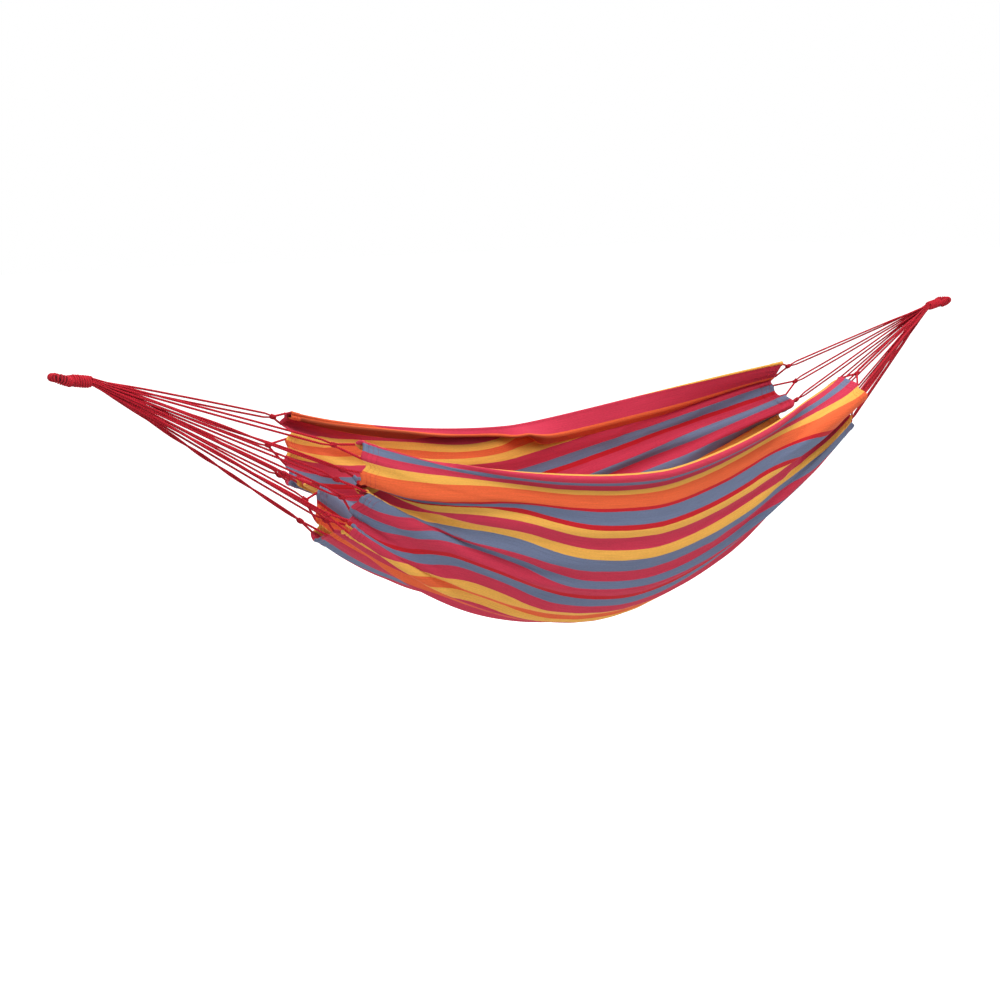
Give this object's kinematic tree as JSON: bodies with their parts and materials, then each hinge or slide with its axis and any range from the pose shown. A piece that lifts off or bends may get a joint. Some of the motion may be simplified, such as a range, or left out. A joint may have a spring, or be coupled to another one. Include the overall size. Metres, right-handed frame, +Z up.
{
  "type": "rope hammock",
  "caption": "Double hammock: wide striped woven cloth bed with hemmed ends, gathered by knotted red cords into a whipped rope eye at each end for hanging between two hooks.",
  "frame": {"origin": "the flat on the inner crown of the head eye, where a hook bears; both eyes hang at the same height", "axes": "+X from the head eye to the foot eye along the line between the hooks, +Z up, near selvedge on the -Y side"},
  "size_m": [3.4648, 0.7745, 0.9271],
  "materials": {
    "cloth": "matt woven cotton, striped pink, red, orange, amber and blue grey along its length",
    "cord": "matt twisted cotton cord, red",
    "knot": "matt cotton cord seized tight, red",
    "serving": "matt whipping cord wound close, red",
    "eye_core": "bundle of cords, mostly hidden by the whipping"
  },
  "bodies": {
    "eyes": {"head_eye_core": "eye_core", "head_eye_serving": "serving", "head_collar": "serving", "foot_eye_core": "eye_core", "foot_eye_serving": "serving", "foot_collar": "serving"},
    "bed": {"bed_cloth": "cloth", "head_cord_01": "cord", "head_knot_01": "knot", "head_cord_02": "cord", "head_knot_02": "knot", "head_cord_03": "cord", "head_knot_03": "knot", "head_cord_04": "cord", "head_knot_04": "knot", "head_cord_05": "cord", "head_knot_05": "knot", "head_cord_06": "cord", "head_knot_06": "knot", "head_cord_07": "cord", "head_knot_07": "knot", "head_cord_08": "cord", "head_knot_08": "knot", "head_cord_09": "cord", "head_knot_09": "knot", "head_cord_10": "cord", "head_knot_10": "knot", "head_cord_11": "cord", "head_knot_11": "knot", "head_cord_12": "cord", "head_knot_12": "knot", "foot_cord_01": "cord", "foot_knot_01": "knot", "foot_cord_02": "cord", "foot_knot_02": "knot", "foot_cord_03": "cord", "foot_knot_03": "knot", "foot_cord_04": "cord", "foot_knot_04": "knot", "foot_cord_05": "cord", "foot_knot_05": "knot", "foot_cord_06": "cord", "foot_knot_06": "knot", "foot_cord_07": "cord", "foot_knot_07": "knot", "foot_cord_08": "cord", "foot_knot_08": "knot", "foot_cord_09": "cord", "foot_knot_09": "knot", "foot_cord_10": "cord", "foot_knot_10": "knot", "foot_cord_11": "cord", "foot_knot_11": "knot", "foot_cord_12": "cord", "foot_knot_12": "knot"}
  },
  "joints": [
    {"name": "bed_swing", "type": "hinge", "parent": "eyes", "child": "bed", "pos_m": [0, 0, -0.018], "axis": [1, 0, 0], "range_deg": [-35, 35]}
  ]
}
